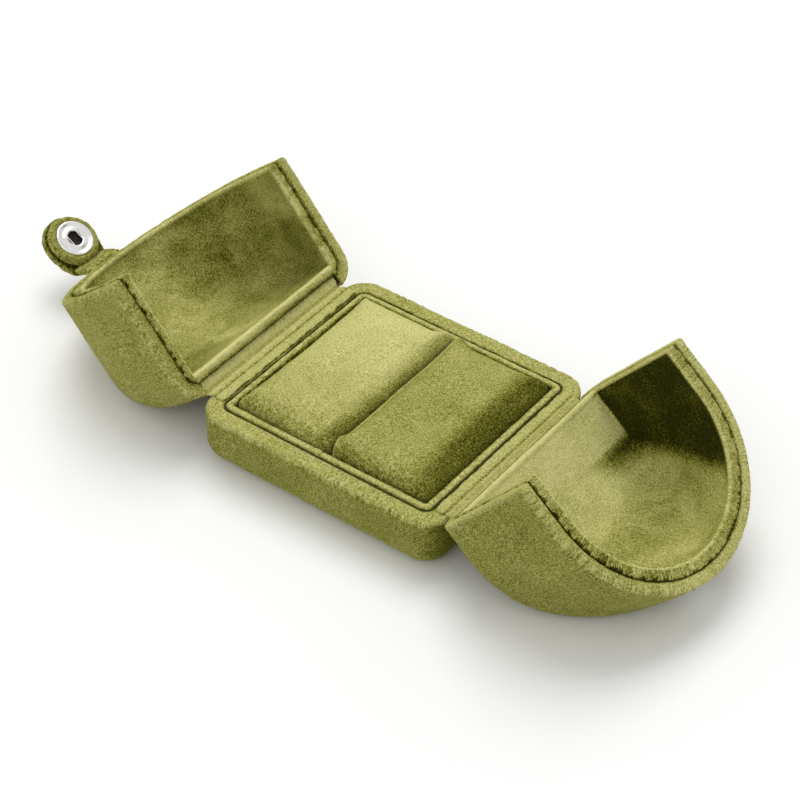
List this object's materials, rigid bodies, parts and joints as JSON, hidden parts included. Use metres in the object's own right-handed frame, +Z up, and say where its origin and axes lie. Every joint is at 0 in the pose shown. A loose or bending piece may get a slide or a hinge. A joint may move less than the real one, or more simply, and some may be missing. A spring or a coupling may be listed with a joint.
{
  "type": "ring box",
  "caption": "Velvet ring box whose two mirrored covers open to the left and right on cloth hinges, with two ring pads, a ring slot between them and a snap strap.",
  "frame": {"origin": "middle of the underside of the base, on the surface that the box stands on", "axes": "+X across the two hinges towards the cover with the snap stud, +Y along the hinge lines and the ring slot, +Z up"},
  "size_m": [0.2011, 0.064, 0.0411],
  "materials": {
    "velvet": "short brushed pile, matt, olive green",
    "moulding": "matt injection moulding, fully covered",
    "board": "pressed paperboard",
    "foam": "soft open cell foam, fully covered",
    "snap_metal": "bright nickel plate"
  },
  "bodies": {
    "base": {"base_shell": "moulding", "base_velvet": "velvet", "bottom_card": "board", "liner_frame": "moulding", "liner_velvet": "velvet", "cushion_board": "board", "left_pad_foam": "foam", "left_pad_velvet": "velvet", "right_pad_foam": "foam", "right_pad_velvet": "velvet", "left_tape_on_base": "velvet", "right_tape_on_base": "velvet"},
    "left_cover": {"left_cover_shell": "moulding", "left_cover_velvet": "velvet", "left_cover_liner": "moulding", "left_cover_lining": "velvet", "left_tape_on_cover": "velvet", "strap_root": "velvet"},
    "right_cover": {"right_cover_shell": "moulding", "right_cover_velvet": "velvet", "right_cover_liner": "moulding", "right_cover_lining": "velvet", "right_tape_on_cover": "velvet", "snap_stud": "snap_metal", "stud_washer": "snap_metal"},
    "strap": {"strap_inner_velvet": "velvet", "strap_stiffener": "board", "strap_outer_velvet": "velvet", "snap_socket": "snap_metal", "socket_spring": "snap_metal", "snap_cap": "snap_metal"}
  },
  "joints": [
    {"name": "left_cover_hinge", "type": "hinge", "parent": "base", "child": "left_cover", "pos_m": [-0.035, 0, 0.015], "axis": [0, 1, 0], "range_deg": [0, 130.8]},
    {"name": "right_cover_hinge", "type": "hinge", "parent": "base", "child": "right_cover", "pos_m": [0.035, 0, 0.015], "axis": [0, -1, 0], "range_deg": [0, 130.8]},
    {"name": "strap_bend", "type": "hinge", "parent": "left_cover", "child": "strap", "pos_m": [-0.09284, 0, 0.01131], "axis": [0, 1, 0], "range_deg": [0, 32.6]}
  ]
}
